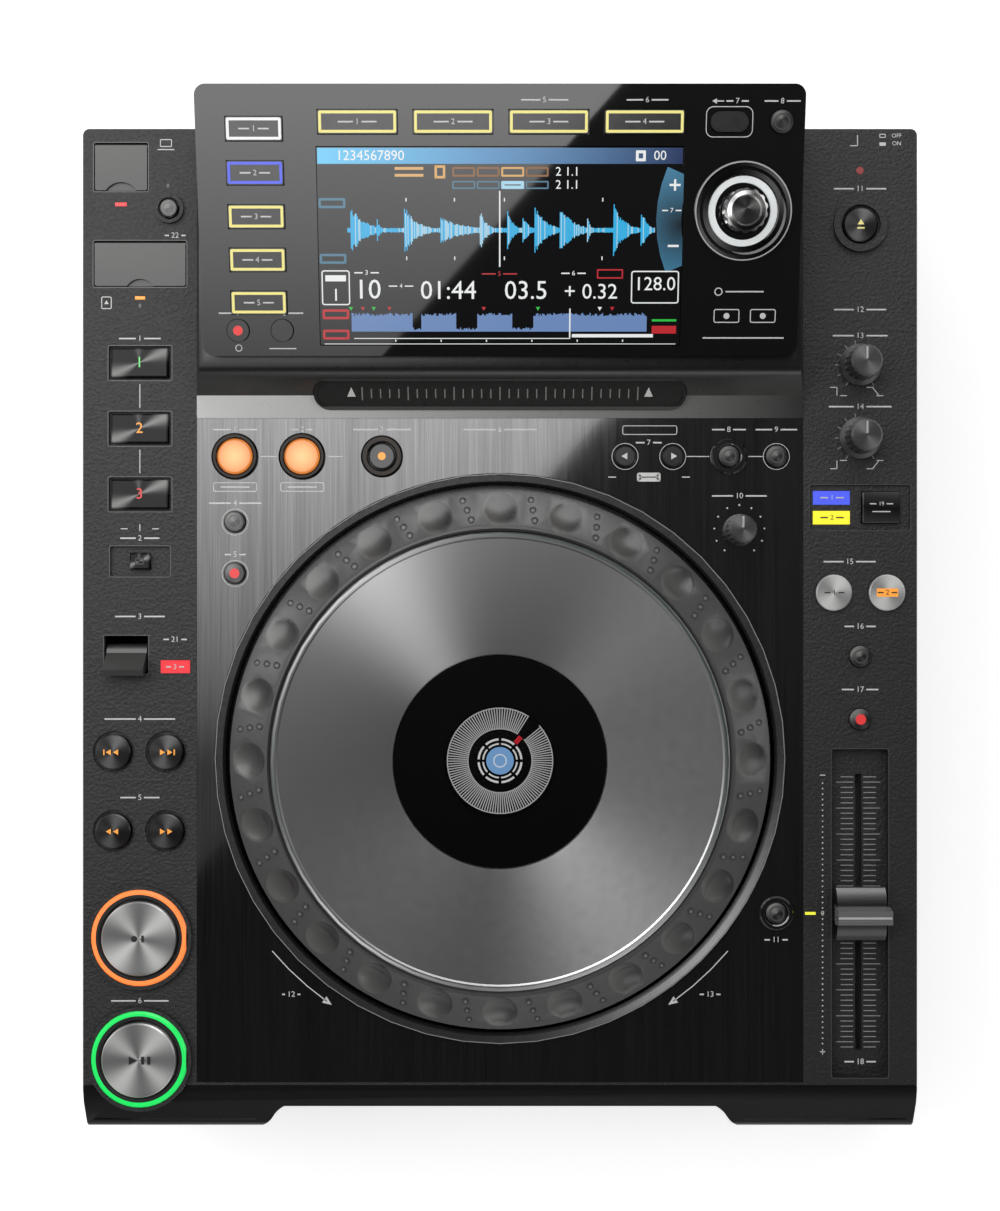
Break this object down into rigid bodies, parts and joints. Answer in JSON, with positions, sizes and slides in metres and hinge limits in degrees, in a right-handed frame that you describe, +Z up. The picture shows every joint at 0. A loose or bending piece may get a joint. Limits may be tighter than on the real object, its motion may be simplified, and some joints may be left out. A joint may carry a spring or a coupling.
{
  "type": "tabletop dj cd player",
  "caption": "Flat tabletop disc and media player with a jog wheel, tilted colour screen, tempo fader, performance keys and a slot-loading drive.",
  "frame": {"origin": "on the table, under the middle of the whole object", "axes": "+Z up, -Y to the front (disc slot side), +X to the fader side"},
  "size_m": [0.3196, 0.395, 0.1079],
  "materials": {
    "black_plastic": "fine sand texture",
    "steel_sheet": "black painted steel sheet",
    "brushed_deck": "dark brushed, clear coated",
    "panel_gloss": "piano black",
    "screen": "colour screen behind glass",
    "strip_pad": "satin",
    "jog_bezel": "satin black with a bright edge",
    "jog_screen": "dark fluorescent display",
    "lens": "translucent lenses",
    "fader_case": "pressed steel",
    "drive_case": "zinc-plated",
    "board": "solder mask",
    "connector": "moulded sockets with plated sleeves",
    "rubber": "matte",
    "screw": "black zinc",
    "dial": "satin grey moulding",
    "platter": "spun",
    "window": "smoked window",
    "fader_cap": "satin metal over black",
    "selector": "turned",
    "shaft": "turned",
    "lever": "satin",
    "door": "satin",
    "key": "black keys",
    "transport_key": "spun face",
    "loop_lens": "lit orange lens",
    "metal_key": "spun face",
    "block_key": "mirror grey key",
    "panel_key": "black key with a lit frame",
    "knob": "fluted black knob with a white line"
  },
  "bodies": {
    "root": {"chassis": "steel_sheet", "top_cover": "black_plastic", "deck_plate": "brushed_deck", "front_fascia": "black_plastic", "display_housing": "black_plastic", "display_panel": "panel_gloss", "lcd_module": "screen", "needle_search_strip": "strip_pad", "jog_base": "jog_bezel", "jog_display": "jog_screen", "light_guides": "lens", "tempo_fader": "fader_case", "disc_drive": "drive_case", "circuit_boards": "board", "rear_connectors": "connector", "rubber_feet": "rubber", "case_screws": "screw"},
    "jog_dial": {"jog_dial": "dial"},
    "jog_platter": {"jog_platter": "platter", "jog_window": "window"},
    "usb_stop_button": {"usb_stop_button": "key"},
    "track_search_back_button": {"track_search_back_button": "key"},
    "track_search_forward_button": {"track_search_forward_button": "key"},
    "search_back_button": {"search_back_button": "key"},
    "search_forward_button": {"search_forward_button": "key"},
    "cue_button": {"cue_button": "transport_key"},
    "play_button": {"play_button": "transport_key"},
    "eject_button": {"eject_button": "key"},
    "beat_sync_button": {"beat_sync_button": "metal_key"},
    "beat_master_button": {"beat_master_button": "metal_key"},
    "tempo_range_button": {"tempo_range_button": "key"},
    "master_tempo_button": {"master_tempo_button": "key"},
    "hot_cue_a_button": {"hot_cue_a_button": "block_key"},
    "hot_cue_b_button": {"hot_cue_b_button": "block_key"},
    "hot_cue_c_button": {"hot_cue_c_button": "block_key"},
    "rec_call_button": {"rec_call_button": "block_key"},
    "jog_mode_button": {"jog_mode_button": "block_key"},
    "loop_in_button": {"loop_in_button": "loop_lens"},
    "loop_out_button": {"loop_out_button": "loop_lens"},
    "reloop_exit_button": {"reloop_exit_button": "key"},
    "loop_mode_button": {"loop_mode_button": "key"},
    "slip_button": {"slip_button": "key"},
    "delete_button": {"delete_button": "key"},
    "memory_button": {"memory_button": "key"},
    "tempo_reset_button": {"tempo_reset_button": "key"},
    "call_buttons": {"call_buttons": "key"},
    "menu_keys": {"menu_keys": "panel_key"},
    "source_keys": {"source_keys": "panel_key"},
    "back_button": {"back_button": "panel_key"},
    "tag_track_button": {"tag_track_button": "panel_key"},
    "power_button": {"power_button": "key"},
    "selector_plunger": {"selector_plunger": "shaft"},
    "selector_knob": {"selector_knob": "selector"},
    "touch_brake_knob": {"touch_brake_knob": "knob"},
    "release_start_knob": {"release_start_knob": "knob"},
    "jog_adjust_knob": {"jog_adjust_knob": "knob"},
    "tempo_knob": {"tempo_knob": "fader_cap"},
    "direction_lever": {"direction_lever": "lever"},
    "usb_door": {"usb_door": "door"},
    "sd_door": {"sd_door": "door"}
  },
  "joints": [
    {"name": "jog_dial_spin", "type": "hinge", "parent": "root", "child": "jog_dial", "pos_m": [0, -0.0544, 0.066], "axis": [0, 0, 1], "continuous": true},
    {"name": "jog_platter_press", "type": "slide", "parent": "jog_dial", "child": "jog_platter", "axis": [0, 0, -1], "range_m": [0, 0.0006], "stiffness_N_per_m": 12000, "springref_m": -0.0003},
    {"name": "usb_stop_press", "type": "slide", "parent": "root", "child": "usb_stop_button", "axis": [0, 0, -1], "range_m": [0, 0.0008], "stiffness_N_per_m": 800, "springref_m": -0.0005},
    {"name": "track_search_back_press", "type": "slide", "parent": "root", "child": "track_search_back_button", "axis": [0, 0, -1], "range_m": [0, 0.0008], "stiffness_N_per_m": 800, "springref_m": -0.0005},
    {"name": "track_search_forward_press", "type": "slide", "parent": "root", "child": "track_search_forward_button", "axis": [0, 0, -1], "range_m": [0, 0.0008], "stiffness_N_per_m": 800, "springref_m": -0.0005},
    {"name": "search_back_press", "type": "slide", "parent": "root", "child": "search_back_button", "axis": [0, 0, -1], "range_m": [0, 0.0008], "stiffness_N_per_m": 800, "springref_m": -0.0005},
    {"name": "search_forward_press", "type": "slide", "parent": "root", "child": "search_forward_button", "axis": [0, 0, -1], "range_m": [0, 0.0008], "stiffness_N_per_m": 800, "springref_m": -0.0005},
    {"name": "cue_press", "type": "slide", "parent": "root", "child": "cue_button", "axis": [0, 0, -1], "range_m": [0, 0.0008], "stiffness_N_per_m": 800, "springref_m": -0.0005},
    {"name": "play_press", "type": "slide", "parent": "root", "child": "play_button", "axis": [0, 0, -1], "range_m": [0, 0.0008], "stiffness_N_per_m": 800, "springref_m": -0.0005},
    {"name": "eject_press", "type": "slide", "parent": "root", "child": "eject_button", "axis": [0, 0, -1], "range_m": [0, 0.0008], "stiffness_N_per_m": 800, "springref_m": -0.0005},
    {"name": "beat_sync_press", "type": "slide", "parent": "root", "child": "beat_sync_button", "axis": [0, 0, -1], "range_m": [0, 0.0008], "stiffness_N_per_m": 800, "springref_m": -0.0005},
    {"name": "beat_master_press", "type": "slide", "parent": "root", "child": "beat_master_button", "axis": [0, 0, -1], "range_m": [0, 0.0008], "stiffness_N_per_m": 800, "springref_m": -0.0005},
    {"name": "tempo_range_press", "type": "slide", "parent": "root", "child": "tempo_range_button", "axis": [0, 0, -1], "range_m": [0, 0.0008], "stiffness_N_per_m": 800, "springref_m": -0.0005},
    {"name": "master_tempo_press", "type": "slide", "parent": "root", "child": "master_tempo_button", "axis": [0, 0, -1], "range_m": [0, 0.0008], "stiffness_N_per_m": 800, "springref_m": -0.0005},
    {"name": "hot_cue_a_press", "type": "slide", "parent": "root", "child": "hot_cue_a_button", "axis": [0, 0, -1], "range_m": [0, 0.0008], "stiffness_N_per_m": 800, "springref_m": -0.0005},
    {"name": "hot_cue_b_press", "type": "slide", "parent": "root", "child": "hot_cue_b_button", "axis": [0, 0, -1], "range_m": [0, 0.0008], "stiffness_N_per_m": 800, "springref_m": -0.0005},
    {"name": "hot_cue_c_press", "type": "slide", "parent": "root", "child": "hot_cue_c_button", "axis": [0, 0, -1], "range_m": [0, 0.0008], "stiffness_N_per_m": 800, "springref_m": -0.0005},
    {"name": "rec_call_press", "type": "slide", "parent": "root", "child": "rec_call_button", "axis": [0, 0, -1], "range_m": [0, 0.0008], "stiffness_N_per_m": 800, "springref_m": -0.0005},
    {"name": "jog_mode_press", "type": "slide", "parent": "root", "child": "jog_mode_button", "axis": [0, 0, -1], "range_m": [0, 0.0008], "stiffness_N_per_m": 800, "springref_m": -0.0005},
    {"name": "loop_in_press", "type": "slide", "parent": "root", "child": "loop_in_button", "axis": [0, 0, -1], "range_m": [0, 0.0008], "stiffness_N_per_m": 800, "springref_m": -0.0005},
    {"name": "loop_out_press", "type": "slide", "parent": "root", "child": "loop_out_button", "axis": [0, 0, -1], "range_m": [0, 0.0008], "stiffness_N_per_m": 800, "springref_m": -0.0005},
    {"name": "reloop_exit_press", "type": "slide", "parent": "root", "child": "reloop_exit_button", "axis": [0, 0, -1], "range_m": [0, 0.0008], "stiffness_N_per_m": 800, "springref_m": -0.0005},
    {"name": "loop_mode_press", "type": "slide", "parent": "root", "child": "loop_mode_button", "axis": [0, 0, -1], "range_m": [0, 0.0008], "stiffness_N_per_m": 800, "springref_m": -0.0005},
    {"name": "slip_press", "type": "slide", "parent": "root", "child": "slip_button", "axis": [0, 0, -1], "range_m": [0, 0.0008], "stiffness_N_per_m": 800, "springref_m": -0.0005},
    {"name": "delete_press", "type": "slide", "parent": "root", "child": "delete_button", "axis": [0, 0, -1], "range_m": [0, 0.0008], "stiffness_N_per_m": 800, "springref_m": -0.0005},
    {"name": "memory_press", "type": "slide", "parent": "root", "child": "memory_button", "axis": [0, 0, -1], "range_m": [0, 0.0008], "stiffness_N_per_m": 800, "springref_m": -0.0005},
    {"name": "tempo_reset_press", "type": "slide", "parent": "root", "child": "tempo_reset_button", "axis": [0, 0, -1], "range_m": [0, 0.0008], "stiffness_N_per_m": 800, "springref_m": -0.0005},
    {"name": "calls_press", "type": "slide", "parent": "root", "child": "call_buttons", "axis": [0, 0, -1], "range_m": [0, 0.0008], "stiffness_N_per_m": 800, "springref_m": -0.0005},
    {"name": "menu_keys_press", "type": "slide", "parent": "root", "child": "menu_keys", "axis": [0, 0.2011, -0.9796], "range_m": [0, 0.0006], "stiffness_N_per_m": 800, "springref_m": -0.0005},
    {"name": "source_keys_press", "type": "slide", "parent": "root", "child": "source_keys", "axis": [0, 0.2011, -0.9796], "range_m": [0, 0.0006], "stiffness_N_per_m": 800, "springref_m": -0.0005},
    {"name": "back_button_press", "type": "slide", "parent": "root", "child": "back_button", "axis": [0, 0.2011, -0.9796], "range_m": [0, 0.0006], "stiffness_N_per_m": 800, "springref_m": -0.0005},
    {"name": "tag_track_button_press", "type": "slide", "parent": "root", "child": "tag_track_button", "axis": [0, 0.2011, -0.9796], "range_m": [0, 0.0006], "stiffness_N_per_m": 800, "springref_m": -0.0005},
    {"name": "power_press", "type": "slide", "parent": "root", "child": "power_button", "axis": [0, -1, 0], "range_m": [0, 0.0025], "stiffness_N_per_m": 400, "springref_m": -0.0005},
    {"name": "selector_press", "type": "slide", "parent": "root", "child": "selector_plunger", "axis": [0, 0.2011, -0.9796], "range_m": [0, 0.0008], "stiffness_N_per_m": 1500, "springref_m": -0.0005},
    {"name": "selector_turn", "type": "hinge", "parent": "selector_plunger", "child": "selector_knob", "pos_m": [0.0885, 0.14683, 0.10237], "axis": [0, -0.2011, 0.9796], "continuous": true},
    {"name": "touch_brake_turn", "type": "hinge", "parent": "root", "child": "touch_brake_knob", "pos_m": [0.13795, 0.09643, 0.072], "axis": [0, 0, 1], "range_deg": [-145, 145]},
    {"name": "release_start_turn", "type": "hinge", "parent": "root", "child": "release_start_knob", "pos_m": [0.13795, 0.06843, 0.072], "axis": [0, 0, 1], "range_deg": [-145, 145]},
    {"name": "jog_adjust_turn", "type": "hinge", "parent": "root", "child": "jog_adjust_knob", "pos_m": [0.0917, 0.0331, 0.072], "axis": [0, 0, 1], "range_deg": [-145, 145]},
    {"name": "tempo_slide", "type": "slide", "parent": "root", "child": "tempo_knob", "axis": [0, 1, 0], "range_m": [-0.05, 0.05]},
    {"name": "direction_flip", "type": "hinge", "parent": "root", "child": "direction_lever", "pos_m": [-0.14325, -0.01467, 0.0634], "axis": [1, 0, 0], "range_deg": [-68, 0]},
    {"name": "usb_door_swing", "type": "hinge", "parent": "root", "child": "usb_door", "pos_m": [-0.14525, 0.18023, 0.0671], "axis": [1, 0, 0], "range_deg": [-95, 0]},
    {"name": "sd_door_swing", "type": "hinge", "parent": "root", "child": "sd_door", "pos_m": [-0.13795, 0.14268, 0.0671], "axis": [1, 0, 0], "range_deg": [-95, 0]}
  ]
}
